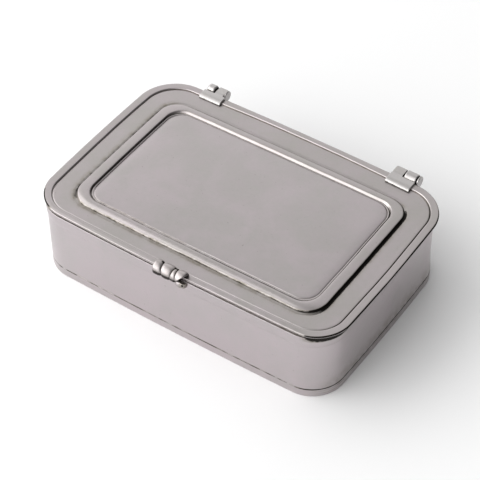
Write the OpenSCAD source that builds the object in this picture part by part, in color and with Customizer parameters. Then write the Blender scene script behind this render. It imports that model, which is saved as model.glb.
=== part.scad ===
// Hinged pewter keepsake box with a framed lid, two strap hinges and a fluted thumb clasp.
// Millimetres. X runs along the length, -Y is the front (clasp), +Y the back (hinges), +Z up.
// The origin is the centre of the flat underside. The lid is drawn closed.

/* [Lid outline] */
// Overall length of the lid
lid_l = 111.6; // [100:0.2:130]
// Overall width of the lid
lid_w = 74.8; // [68:0.2:90]
// Corner radius of the lid
lid_r = 12.8; // [9:0.1:16]
// How far each side bows outward at its middle
bow = 0.8; // [0.2:0.1:1.2]

/* [Heights] */
// Height of the lid's rim top above the table
rim_top = 27.46; // [24:0.02:36]
// Height of the base pan's turned-up edge
pan_h = 3.07; // [2:0.01:5]

/* [Thicknesses] */
// Side wall sheet
wall_t = 1.5; // [1:0.1:2]
// Bottom sheet
floor_t = 1.0; // [0.8:0.1:1.6]
// Lid plate under the rim
plate_t = 0.55; // [0.4:0.05:0.8]
// Rim moulding
rim_t = 0.56; // [0.4:0.02:0.9]
// How far the lid overhangs the wall
overhang = 1.3; // [0.9:0.05:1.6]
// Gap between the wall's top and the lid plate
lid_gap = 0.15; // [0.1:0.05:0.3]

/* [Lid mouldings] */
// Width of the raised rim
rim_w = 2.81; // [2:0.01:4]
// Distance from the lid's side to the frame moulding, on the short sides
frame_in_x = 9.1; // [8:0.1:14]
// Distance from the lid's side to the frame moulding, on the long sides
frame_in_y = 8.0; // [7:0.1:12]
// Width of the frame moulding
frame_w = 4.03; // [3.4:0.01:5]
// Height of the frame's crest above the flat of the lid
frame_h = 0.95; // [0.5:0.05:1.4]
// Thickness of the centre panel
panel_t = 0.35; // [0.2:0.05:0.5]

/* [Hinges] */
// Distance of the hinge line behind the middle of the box
hinge_y = 39.2; // [39.1:0.1:45]
// Outer radius of the knuckles
knuckle_r = 1.9; // [1.6:0.05:1.9]
// Radius of the hinge pins
pin_r = 0.75; // [0.6:0.05:0.9]
// Radial play of the pin in the lid's knuckle
pin_play = 0.06; // [0.03:0.01:0.1]

/* [Clasp] */
// Radius of the clasp's lobes at their crests
claw_r = 2.4; // [2.3:0.05:2.6]
// Inner radius of the clasp's hollow
claw_in = 1.6; // [1.3:0.05:1.7]
// Radius of the catch on the front wall
catch_r = 1.5; // [1.2:0.05:1.5]

/* [Hidden] */

seg_c = 8;                               // segments in a corner
seg_l = 8;                               // segments in a long side
seg_s = 6;                               // segments in a short side
wall_l = lid_l - 2*overhang - 0.3;       // outer length of the wall
wall_w = lid_w - 2*overhang - 0.2;       // outer width of the wall
wall_r = lid_r - 2.1;
wall_bow = bow - 0.1;
band_out = 0.3;                          // the top band stands this far off the wall
band_h = 4.0;
flat_z = rim_top - 0.36;                 // flat of the lid, just inside the rim
rim_z = rim_top - rim_t;                 // underside of the rim
plate_z = rim_z - plate_t;               // underside of the lid plate
wall_top = plate_z - lid_gap;
lip_t = 1.0;
lip_h = 2.0;
lip_play = 0.35;
hinge_z = rim_top - 0.56;                // height of the hinge line
frame_r = 7.2;                           // corner radius of the frame's outer edge
frame_k = 0.4;                           // its inner corners stay nearly as round as the outer ones
strap_front = lid_w/2 - 4.2;             // front edge of the hinge straps
strap_top = rim_top + 0.84;
leaf_z = 14.5;                           // lower edge of the hinge leaves
// Each hinge along X: start of the first knuckle, end of it, start of the second, end of it.
// Left: body knuckle first. Right: lid knuckle first. The pin's head is at the +X end.
hl = [-38.95, -35.95, -35.35, -32.05];
hr = [32.5, 36.3, 36.8, 40.9];
head_t = 0.65;
strap_l = [-38.8, -30.9];
strap_r = [32.3, 41.0];
claw_y = -lid_w/2 + 1.0;                 // axis of the clasp's roll
claw_z = rim_top - 0.26;
claw_lip = rim_top - 1.3;                // lower edge of the clasp's lip
claw_x = 5.65;                           // half width of the clasp
catch_x = [2.0, 4.6];
catch_y = -wall_w/2 - 0.2;
catch_z = wall_top - catch_r - 0.05;

// Rounded rectangle with gently bowed sides, as a list of points. l and w are overall.
function arc(cx, cy, r, a0) = [for (i = [0:seg_c]) [cx + r*cos(a0 + 90*i/seg_c), cy + r*sin(a0 + 90*i/seg_c)]];
function along(p, q, n) = [for (i = [1:n-1]) p + (q - p)*i/n];
function straight(l, w, r) = let (cx = l/2 - r, cy = w/2 - r)
    concat(arc(cx, cy, r, 0), along([cx, w/2], [-cx, w/2], seg_l),
           arc(-cx, cy, r, 90), along([-l/2, cy], [-l/2, -cy], seg_s),
           arc(-cx, -cy, r, 180), along([-cx, -w/2], [cx, -w/2], seg_l),
           arc(cx, -cy, r, 270), along([l/2, -cy], [l/2, cy], seg_s));
function outline(l, w, r, b) = let (tl = l - 2*b, tw = w - 2*b)
    [for (p = straight(tl, tw, r))
        [p[0] + sign(p[0])*b*(1 - pow(2*p[1]/tw, 2)), p[1] + sign(p[1])*b*(1 - pow(2*p[0]/tl, 2))]];

// A slab of the outline, from z0 to z1
module slab(l, w, r, b, z0, z1) translate([0, 0, z0]) linear_extrude(z1 - z0) polygon(outline(l, w, r, b));

// A ring of wall thickness t inside the outline
module ring(l, w, r, b, t, z0, z1) translate([0, 0, z0]) linear_extrude(z1 - z0) difference() {
    polygon(outline(l, w, r, b));
    polygon(outline(l - 2*t, w - 2*t, r - t, b));
}

// A moulding: the closed profile of [inset, height] points carried round the outline.
// k is how fast the corner radius shrinks with the inset: 1 keeps the width even round a corner.
module moulding(l, w, r, b, prof, k = 1) {
    n = len(straight(l, w, r));
    m = len(prof);
    pts = [for (q = prof) for (p = outline(l - 2*q[0], w - 2*q[0], r - k*q[0], b)) [p[0], p[1], q[1]]];
    polyhedron(points = pts, convexity = 6,
        faces = [for (j = [0:m-1]) for (i = [0:n-1]) for (t = [0, 1])
            let (a = j*n + i, c = j*n + (i + 1) % n, d = ((j + 1) % m)*n + i, e = ((j + 1) % m)*n + (i + 1) % n)
            t == 0 ? [a, c, e] : [a, e, d]]);
}

// Cylinder along X
module xrod(x0, x1, y, z, r) translate([x0, y, z]) rotate([0, 90, 0]) cylinder(h = x1 - x0, r = r, $fn = 64);

// A convex ring along X, with its radius falling from rc at the middle to rg at the ends
module lobe(x0, x1, rc, rg) {
    h = (x1 - x0)/2;
    translate([(x0 + x1)/2, claw_y, claw_z]) rotate([0, 90, 0]) rotate_extrude($fn = 72)
        polygon(concat([[0, -h]], [for (i = [0:6]) let (t = -1 + i/3) [rg + (rc - rg)*sqrt(1 - t*t*0.98), t*h]], [[0, h]]));
}

module wall_solid(z0, z1) slab(wall_l, wall_w, wall_r, wall_bow, z0, z1);
module band_solid() slab(wall_l + 2*band_out, wall_w + 2*band_out, wall_r + band_out, wall_bow, wall_top - band_h, wall_top + 3);

// ---- body of the box ----

module base_pan() color("#8f8a87") difference() {
    union() {
        slab(wall_l - 1.1, wall_w - 1.1, wall_r - 0.55, wall_bow, 0, 0.3);
        slab(wall_l - 0.4, wall_w - 0.4, wall_r - 0.2, wall_bow, 0.2, 0.7);
        wall_solid(0.6, pan_h);
    }
    slab(wall_l - 2*wall_t, wall_w - 2*wall_t, wall_r - wall_t, wall_bow, floor_t, pan_h + 1);
}

module side_wall() color("#a39c9a")
    ring(wall_l, wall_w, wall_r, wall_bow, wall_t, pan_h, wall_top);

module wall_rim_band() color("#aaa39f") difference() {
    slab(wall_l + 2*band_out, wall_w + 2*band_out, wall_r + band_out, wall_bow, wall_top - band_h, wall_top);
    wall_solid(wall_top - band_h - 1, wall_top + 1);
}

module catch_bead() color("#c2bcb8") difference() {
    union() {
        xrod(catch_x[0] + 0.5, catch_x[1], catch_y, catch_z, catch_r);
        xrod(catch_x[0], catch_x[1] - 0.2, catch_y, catch_z, catch_r - 0.35);
    }
    xrod(catch_x[1] - 0.6, catch_x[1] + 1, catch_y - 0.2, catch_z, 0.55);
    wall_solid(catch_z - 4, catch_z + 4);
    band_solid();
}

// Body half of a hinge: leaf soldered on the rear wall, and an arm up to the knuckle.
// leaf and knuckle are [x0, x1].
module hinge_plate(leaf, knuckle) difference() {
    union() {
        translate([leaf[0], wall_w/2 - 1.4, leaf_z]) cube([leaf[1] - leaf[0], 2.3, wall_top - 1.8 - leaf_z]);
        translate([knuckle[0], 0, 0]) rotate([90, 0, 90]) linear_extrude(knuckle[1] - knuckle[0])
            polygon([[wall_w/2 - 1.4, wall_top - 3.4], [wall_w/2 + 0.9, wall_top - 3.4], [hinge_y + 1.0, hinge_z - 1.55],
                     [hinge_y, hinge_z], [hinge_y - 1.55, wall_top - 0.1], [wall_w/2 - 1.4, wall_top - 0.3]]);
        xrod(knuckle[0], knuckle[1], hinge_y, hinge_z, knuckle_r);
    }
    xrod(knuckle[0] - 1, knuckle[1] + 1, hinge_y, hinge_z, pin_r + 0.01);
    wall_solid(leaf_z - 1, wall_top + 1);
    band_solid();
}
module hinge_plate_left() color("#8d8885") hinge_plate([hl[0], hl[3]], [hl[0], hl[1]]);
module hinge_plate_right() color("#8d8885") hinge_plate([hr[0], hr[3]], [hr[2], hr[3]]);

// Pin with a flat head at its +X end
module hinge_pin(x0, x1, gap) {
    xrod(x0, x1 + gap + 0.1, hinge_y, hinge_z, pin_r);
    xrod(x1 + gap, x1 + gap + head_t, hinge_y, hinge_z, knuckle_r - 0.05);
}
module hinge_pin_left() color("#b5b0ac") hinge_pin(hl[0] - 0.15, hl[3], 0.12);
module hinge_pin_right() color("#b5b0ac") hinge_pin(hr[0] - 0.15, hr[3], 0);

// ---- lid ----

module lid_plate() color("#9c9694") union() {
    slab(lid_l - 0.7, lid_w - 0.7, lid_r - 0.35, bow, plate_z, rim_z);
    slab(lid_l - 2*rim_w, lid_w - 2*rim_w, lid_r - rim_w, bow, rim_z - 0.1, flat_z);
}

// Raised rim with a rounded outer edge
module lid_rim() color("#a8a29f")
    moulding(lid_l, lid_w, lid_r, bow,
        [[0.35, rim_z], [0.06, rim_z + 0.1], [0, rim_z + 0.26], [0.07, rim_top - 0.11], [0.3, rim_top],
         [rim_w - 0.25, rim_top], [rim_w, rim_top - 0.12], [rim_w, rim_z]]);

// Cushion-shaped frame round the panel with a low fillet outside it, one profile carried round four corners
module lid_frame() color("#b3adaa") {
    l = lid_l - 2*bow - 2*frame_in_x;
    w = lid_w - 2*bow - 2*frame_in_y;
    h = frame_h;
    moulding(l + 0.4, w + 0.4, frame_r, 0.2,
        [[0, flat_z], [0.03, flat_z + 0.13*h], [0.25, flat_z + 0.22*h], [0.47, flat_z + 0.13*h], [0.52, flat_z + 0.5*h],
         [0.8, flat_z + 0.72*h], [1.5, flat_z + 0.92*h], [2.3, flat_z + h], [3.1, flat_z + 0.93*h], [3.75, flat_z + 0.72*h],
         [frame_w, flat_z + 0.45*h], [frame_w, flat_z]],
        frame_k);
}

module lid_panel() color("#bbb5b2") {
    l = lid_l - 2*bow - 2*frame_in_x - 2*frame_w - 0.1;
    w = lid_w - 2*bow - 2*frame_in_y - 2*frame_w - 0.1;
    slab(l + 0.4, w + 0.4, frame_r - frame_k*frame_w, 0.2, flat_z, flat_z + panel_t);
}

// Locating lip under the lid, which drops inside the wall
module lid_lip() color("#8a8582")
    ring(wall_l - 2*wall_t - 2*lip_play, wall_w - 2*wall_t - 2*lip_play, wall_r - wall_t - lip_play, wall_bow,
         lip_t, plate_z - lip_h, plate_z);

// Lid half of a hinge: a strap over the rim, curled into a knuckle behind it
module hinge_strap(strap, knuckle) difference() {
    union() {
        translate([strap[0], 0, 0]) rotate([90, 0, 90]) linear_extrude(strap[1] - strap[0])
            polygon([[strap_front, flat_z], [strap_front + 0.1, flat_z + 0.45], [strap_front + 0.55, strap_top - 0.3],
                     [strap_front + 1.2, strap_top - 0.08], [strap_front + 2, strap_top], [strap_front + 3.6, strap_top],
                     [strap_front + 3.9, strap_top - 0.25], [strap_front + 3.9, rim_top + 0.01], [strap_front + 0.82, rim_top + 0.01],
                     [strap_front + 0.82, flat_z]]);
        translate([knuckle[0], 0, 0]) rotate([90, 0, 90]) linear_extrude(knuckle[1] - knuckle[0])
            polygon([[strap_front + 2.2, rim_top + 0.02], [strap_front + 2.2, strap_top - 0.02], [hinge_y - 1.3, strap_top + 0.1],
                     [hinge_y - 0.35, hinge_z + knuckle_r - 0.06], [hinge_y, hinge_z], [hinge_y - 1.0, rim_top - 0.1],
                     [lid_w/2 + 0.05, rim_top + 0.02]]);
        xrod(knuckle[0], knuckle[1], hinge_y, hinge_z, knuckle_r);
    }
    xrod(knuckle[0] - 1, knuckle[1] + 1, hinge_y, hinge_z, pin_r + pin_play);
}
module hinge_strap_left() color("#bab5b2") hinge_strap(strap_l, [hl[2], hl[3]]);
module hinge_strap_right() color("#bab5b2") hinge_strap(strap_r, [hr[0], hr[1]]);

// Fluted thumb clasp: a hollow roll over the front rim, with its front corners rounded off
module thumb_clasp() color("#c9c4c1") difference() {
    intersection() {
        union() {
            lobe(-claw_x, -2.7, claw_r, claw_r - 0.35);
            lobe(-2.7, 1.05, claw_r - 0.08, claw_r - 0.4);
            lobe(1.05, 2.25, claw_r - 0.12, claw_r - 0.35);
            lobe(2.25, claw_x, claw_r, claw_r - 0.35);
        }
        translate([0, 0, claw_z - 4]) linear_extrude(8) union() {
            translate([-claw_x, claw_y]) square([2*claw_x, 4]);
            translate([-claw_x + 1.2, claw_y - 4]) square([2*claw_x - 3.6, 5]);
            translate([-claw_x, claw_y - claw_r + 1.2]) square([2, claw_r]);
            translate([-claw_x + 1.2, claw_y - claw_r + 1.2]) circle(r = 1.2, $fn = 48);
            translate([claw_x - 2.4, claw_y]) circle(r = 2.4, $fn = 64);
        }
    }
    xrod(-claw_x + 0.85, claw_x + 1, claw_y, claw_z, claw_in);
    translate([-8, claw_y - 6, claw_lip - 10]) cube([16, 12, 10]);
    slab(lid_l, lid_w, lid_r, bow, rim_top - 8, rim_top);
}

base_pan();
side_wall();
wall_rim_band();
catch_bead();
hinge_plate_left();
hinge_plate_right();
hinge_pin_left();
hinge_pin_right();
lid_plate();
lid_rim();
lid_frame();
lid_panel();
lid_lip();
hinge_strap_left();
hinge_strap_right();
thumb_clasp();
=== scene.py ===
"""Small pewter rosary box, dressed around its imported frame. Lengths in this file are millimetres until the meshes are made."""
import math

import bpy
import numpy as np
from mathutils import Matrix, Vector


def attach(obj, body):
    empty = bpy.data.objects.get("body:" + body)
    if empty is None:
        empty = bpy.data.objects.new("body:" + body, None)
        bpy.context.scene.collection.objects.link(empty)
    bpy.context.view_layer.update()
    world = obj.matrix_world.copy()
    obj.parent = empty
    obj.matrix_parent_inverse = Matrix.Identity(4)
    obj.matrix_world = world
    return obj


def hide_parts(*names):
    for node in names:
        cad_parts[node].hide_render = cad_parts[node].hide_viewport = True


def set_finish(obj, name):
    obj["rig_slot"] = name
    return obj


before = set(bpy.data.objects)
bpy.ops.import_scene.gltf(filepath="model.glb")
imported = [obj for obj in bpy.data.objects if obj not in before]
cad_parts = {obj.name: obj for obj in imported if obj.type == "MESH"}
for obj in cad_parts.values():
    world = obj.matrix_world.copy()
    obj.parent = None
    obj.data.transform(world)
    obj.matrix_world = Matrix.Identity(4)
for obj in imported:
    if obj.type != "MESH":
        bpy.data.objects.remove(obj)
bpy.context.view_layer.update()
scene = bpy.context.scene

# ------------------------------------------------------------------ camera
cam_data = bpy.data.cameras.new("view_camera")
cam_data.sensor_width = 36.0
cam_data.lens = 134.221
cam_data.clip_start, cam_data.clip_end = 0.05, 20.0
camera = bpy.data.objects.new("view_camera", cam_data)
scene.collection.objects.link(camera)
cam_right = Vector((0.82551705, 0.56432337, -0.00779367))
cam_up = Vector((-0.39746499, 0.5911223, 0.70185184))
cam_back = Vector((0.40067841, -0.57629295, 0.71228032))
m = Matrix.Identity(4)
for i in range(3):
    m[i][0], m[i][1], m[i][2] = cam_right[i], cam_up[i], cam_back[i]
m[0][3], m[1][3], m[2][3] = 0.226505, -0.325831, 0.413224
camera.matrix_world = m
scene.camera = camera

# ------------------------------------------------------------------ sizes, as on the frame
LID = (111.6, 74.8, 12.8, 0.8)          # overall length, width, corner radius, bow of the sides
WALL = (108.7, 72.0, 10.7, 0.7)
FRAME = (92.2, 57.6, 7.2, 0.2)
FRAME_K = 0.4
PANEL = (84.04, 49.44, 5.588, 0.2)
RIM_TOP, FLAT, RIM_Z, PLATE_Z, WALL_TOP, PAN_H = 27.46, 27.10, 26.90, 26.35, 26.20, 3.07
RIM_W = 2.81
HINGE_Y, HINGE_Z, KNUCKLE_R, PIN_R = 39.2, 26.90, 1.9, 0.75
HL = (-38.95, -35.95, -35.35, -32.05)
HR = (32.5, 36.3, 36.8, 40.9)
STRAP_FRONT, STRAP_TOP = 33.2, 28.30
CLAW_Y, CLAW_Z, CLAW_X, CLAW_LIP = -36.4, 27.20, 5.65, 26.16
CATCH_X, CATCH_Y, CATCH_Z, CATCH_R = (2.0, 4.6), -36.2, 24.65, 1.5

# ------------------------------------------------------------------ rings round the box
NC, NL, NS = 18, 60, 40
CORNERS = ((1, 1, 0), (-1, 1, 90), (-1, -1, 180), (1, -1, 270))


def outline(l, w, r, b):
    """Rounded rectangle with bowed sides, the same number of points for every size."""
    tl, tw = l - 2 * b, w - 2 * b
    r = max(0.3, min(r, tl / 2 - 0.05, tw / 2 - 0.05))
    cx, cy = tl / 2 - r, tw / 2 - r
    xs, ys = [], []
    for sx, sy, a0 in CORNERS:
        a = np.radians(a0 + 90.0 * np.arange(NC) / NC)
        xs.append(sx * cx + r * np.cos(a))
        ys.append(sy * cy + r * np.sin(a))
        n = NL if a0 in (0, 180) else NS
        e = math.radians(a0 + 90)
        p = (sx * cx + r * math.cos(e), sy * cy + r * math.sin(e))
        q = {0: (-cx, tw / 2), 90: (-tl / 2, -cy), 180: (cx, -tw / 2), 270: (tl / 2, cy)}[a0]
        t = np.arange(n) / n
        xs.append(p[0] + (q[0] - p[0]) * t)
        ys.append(p[1] + (q[1] - p[1]) * t)
    x, y = np.concatenate(xs), np.concatenate(ys)
    return (x + np.sign(x) * b * (1 - (2 * y / tw) ** 2), y + np.sign(y) * b * (1 - (2 * x / tl) ** 2))


def normals():
    nx, ny = [], []
    for sx, sy, a0 in CORNERS:
        a = np.radians(a0 + 90.0 * np.arange(NC) / NC)
        nx.append(np.cos(a))
        ny.append(np.sin(a))
        n = NL if a0 in (0, 180) else NS
        e = math.radians(a0 + 90)
        nx.append(np.full(n, math.cos(e)))
        ny.append(np.full(n, math.sin(e)))
    return np.concatenate(nx), np.concatenate(ny)


NX, NY = normals()
N = len(NX)
BX, BY = outline(*LID)
W_FRONT, W_BACK = np.clip(-NY, 0, 1) ** 2, np.clip(NY, 0, 1) ** 2
W_LEFT, W_RIGHT = np.clip(-NX, 0, 1) ** 2, np.clip(NX, 0, 1) ** 2


def sstep(a, b, x):
    t = np.clip((np.asarray(x, float) - a) / (b - a), 0, 1)
    return t * t * (3 - 2 * t)


def waves(seed, n, lo, hi):
    """A smooth random field of x and y: a few sines of wavelengths lo to hi."""
    rng = np.random.default_rng(seed)
    lam = np.exp(rng.uniform(math.log(lo), math.log(hi), n))
    ang, ph = rng.uniform(0, 2 * math.pi, n), rng.uniform(0, 2 * math.pi, n)
    amp = lam / lam.sum()
    kx, ky = 2 * math.pi * np.cos(ang) / lam, 2 * math.pi * np.sin(ang) / lam

    def f(x, y):
        x, y = np.asarray(x, float), np.asarray(y, float)
        return sum(a * np.sin(u * x + v * y + p) for a, u, v, p in zip(amp, kx, ky, ph))

    return f


LID_Z = waves(11, 7, 14, 60)
EDGE_IN = waves(23, 6, 9, 45)
WALL_N = waves(37, 7, 12, 55)

# ------------------------------------------------------------------ profiles


def rows_of(pts, closed=False, fall=0.3):
    """Profile corners (inset, z, fillet radius, cavity, edge) as rows (inset, z, cavity, edge), with round fillets and rows that hold them."""
    n, out = len(pts), []
    for i, (x, z, r, c, e) in enumerate(pts):
        if r <= 0 or (not closed and i in (0, n - 1)):
            out.append((x, z, c, e))
            continue
        p, q = pts[i - 1], pts[(i + 1) % n]
        a, b = np.array([p[0] - x, p[1] - z], float), np.array([q[0] - x, q[1] - z], float)
        la, lb = np.linalg.norm(a), np.linalg.norm(b)
        a, b = a / la, b / lb
        ang = math.acos(max(-1.0, min(1.0, float(a @ b))))
        turn = math.pi - ang
        if turn < 0.03:
            out.append((x, z, c, e))
            continue
        t = min(r / math.tan(ang / 2), 0.47 * la, 0.47 * lb)
        rr = t * math.tan(ang / 2)
        bis = (a + b) / np.linalg.norm(a + b)
        cen = np.array([x, z]) + bis * rr / math.sin(ang / 2)
        s, g = np.array([x, z]) + a * t - cen, np.array([x, z]) + b * t - cen
        a0, a1 = math.atan2(s[1], s[0]), math.atan2(g[1], g[0])
        d = (a1 - a0 + math.pi) % (2 * math.pi) - math.pi
        m = max(3, int(math.ceil(turn / (math.pi / 2) * 7)))
        for k in range(m + 1):
            h = a0 + d * k / m
            out.append((cen[0] + rr * math.cos(h), cen[1] + rr * math.sin(h), c, e))
    res = []
    for i, row in enumerate(out):
        res.append(row)
        if not closed and i == len(out) - 1:
            break
        nxt = out[(i + 1) % len(out)]
        seg = math.hypot(nxt[0] - row[0], nxt[1] - row[1])
        if seg > 2.3 * fall and any(np.any(v) for v in (row[2], row[3], nxt[2], nxt[3])):
            for t in (fall / seg, 1 - fall / seg):
                res.append((row[0] + (nxt[0] - row[0]) * t, row[1] + (nxt[1] - row[1]) * t, 0.0, 0.0))
    return res


def make_mesh(name, V, F, attrs):
    me = bpy.data.meshes.new(name)
    V = np.asarray(V, float).reshape(-1, 3) * 0.001
    me.vertices.add(len(V))
    me.vertices.foreach_set("co", V.astype(np.float32).ravel())
    quads = np.asarray(F[0], np.int32).reshape(-1, 4)
    others = F[1]
    sizes = np.concatenate([np.full(len(quads), 4, np.int32), np.array([len(f) for f in others], np.int32)])
    loops = np.concatenate([quads.ravel()] + [np.asarray(f, np.int32) for f in others])
    me.loops.add(len(loops))
    me.loops.foreach_set("vertex_index", loops)
    me.polygons.add(len(sizes))
    me.polygons.foreach_set("loop_start", np.concatenate([[0], np.cumsum(sizes)[:-1]]).astype(np.int32))
    me.polygons.foreach_set("loop_total", sizes)
    me.update(calc_edges=True)
    me.validate()
    for key, val in attrs.items():
        a = me.attributes.new(key, "FLOAT", "POINT")
        a.data.foreach_set("value", np.asarray(val, np.float32).ravel())
    me.polygons.foreach_set("use_smooth", np.ones(len(me.polygons), bool))
    ob = bpy.data.objects.new(name, me)
    scene.collection.objects.link(ob)
    return ob


def volume(V, F):
    """Signed volume of the quads, to see which way they face."""
    q = np.asarray(F, int).reshape(-1, 4)
    v = 0.0
    for a, b, c in ((0, 1, 2), (0, 2, 3)):
        v += np.einsum("ij,ij->i", V[q[:, a]], np.cross(V[q[:, b]], V[q[:, c]])).sum()
    return v


def sweep(name, spec, rows, k=1.0, closed=True, caps=(), shift=None, lift=None):
    """Carries rows (inset, z, cavity, edge) round the outline. An inset or z may be an array with one value per ring point.
    shift(inset) is a further inset, and lift(x, y, z, row) gives the final x, y, z. caps closes the first or last ring with an n-gon."""
    l, w, r, b = spec
    J = len(rows)
    V = np.zeros((J, N, 3))
    patina_and_shade, edge = np.zeros((J, N)), np.zeros((J, N))
    for j, row in enumerate(rows):
        d, z, c, e = row[:4]
        base = float(np.mean(d))
        if len(row) > 4:
            fl, fw, fr, fb = row[4]
            x, y = outline(fl - 2 * base, fw - 2 * base, fr - (1.0 if base < 0 else FRAME_K) * base, fb)
        else:
            x, y = outline(l - 2 * base, w - 2 * base, r - k * base, b)
        extra = np.asarray(d, float) - base
        if shift is not None:
            extra = extra + shift(base if len(row) == 4 else 8.6 + base)
        x, y = x - NX * extra, y - NY * extra
        z = np.broadcast_to(np.asarray(z, float), x.shape)
        V[j] = np.stack([x, y, z], 1)
        patina_and_shade[j], edge[j] = c, e
    if lift is not None:
        V = lift(V)
    idx = np.arange(J * N).reshape(J, N)
    a = idx if closed else idx[:-1]
    b2 = np.roll(idx, -1, 0) if closed else idx[1:]
    q = np.stack([a, np.roll(a, -1, 1), np.roll(b2, -1, 1), b2], -1).reshape(-1, 4)
    others = []
    P = V.reshape(-1, 3)
    if "first" in caps:
        others.append(idx[0][::-1].copy())
    if "last" in caps:
        others.append(idx[-1].copy())
    vol = volume(P, q)
    for f in others:
        c = P[f].mean(0)
        s = P[f] - c
        t = np.roll(s, -1, 0)
        vol += (np.einsum("ij,ij->i", s, np.cross(t, np.broadcast_to(c, s.shape)))).sum() * 0
        nrm = np.cross(s, t).sum(0)
        vol += float(nrm @ c)
    if vol < 0:
        q = q[:, ::-1]
        others = [f[::-1] for f in others]
    return make_mesh(name, P, (q, others), {"patina_and_shade": patina_and_shade, "edge": edge})


# ------------------------------------------------------------------ small cast and wrought pieces: distance fields meshed by surface nets


def sd_box(P, lo, hi, r=0.0):
    lo, hi = np.array(lo, float), np.array(hi, float)
    q = np.abs(P - (lo + hi) / 2) - (hi - lo) / 2 + r
    return np.linalg.norm(np.maximum(q, 0), axis=-1) + np.minimum(q.max(-1), 0) - r


def sd_rod(P, x0, x1, y, z, rad, r=0.0):
    """Round bar along X with rounded ends."""
    d = np.hypot(P[..., 1] - y, P[..., 2] - z) - rad + r
    h = np.abs(P[..., 0] - (x0 + x1) / 2) - (x1 - x0) / 2 + r
    return np.minimum(np.maximum(d, h), 0) + np.hypot(np.maximum(d, 0), np.maximum(h, 0)) - r


def sd_poly(P, poly, x0, x1, r=0.0):
    """Polygon of (y, z) points drawn out along X, edges rounded by r."""
    poly = np.array(poly, float)
    y, z = P[..., 1], P[..., 2]
    best = np.full(y.shape, 1e9)
    inside = np.zeros(y.shape, bool)
    for i in range(len(poly)):
        a, b = poly[i], poly[(i + 1) % len(poly)]
        e = b - a
        t = np.clip(((y - a[0]) * e[0] + (z - a[1]) * e[1]) / (e @ e), 0, 1)
        best = np.minimum(best, np.hypot(y - a[0] - t * e[0], z - a[1] - t * e[1]))
        if a[1] != b[1]:
            hit = ((a[1] > z) != (b[1] > z)) & (y < (b[0] - a[0]) * (z - a[1]) / (b[1] - a[1]) + a[0])
            inside ^= hit
    d = np.where(inside, -best, best) + r
    h = np.abs(P[..., 0] - (x0 + x1) / 2) - (x1 - x0) / 2 + r
    return np.minimum(np.maximum(d, h), 0) + np.hypot(np.maximum(d, 0), np.maximum(h, 0)) - r


def smin(a, b, k):
    h = np.clip(0.5 + 0.5 * (b - a) / k, 0, 1)
    return b + (a - b) * h - k * h * (1 - h)


def smax(a, b, k):
    return -smin(-a, -b, k)


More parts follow.
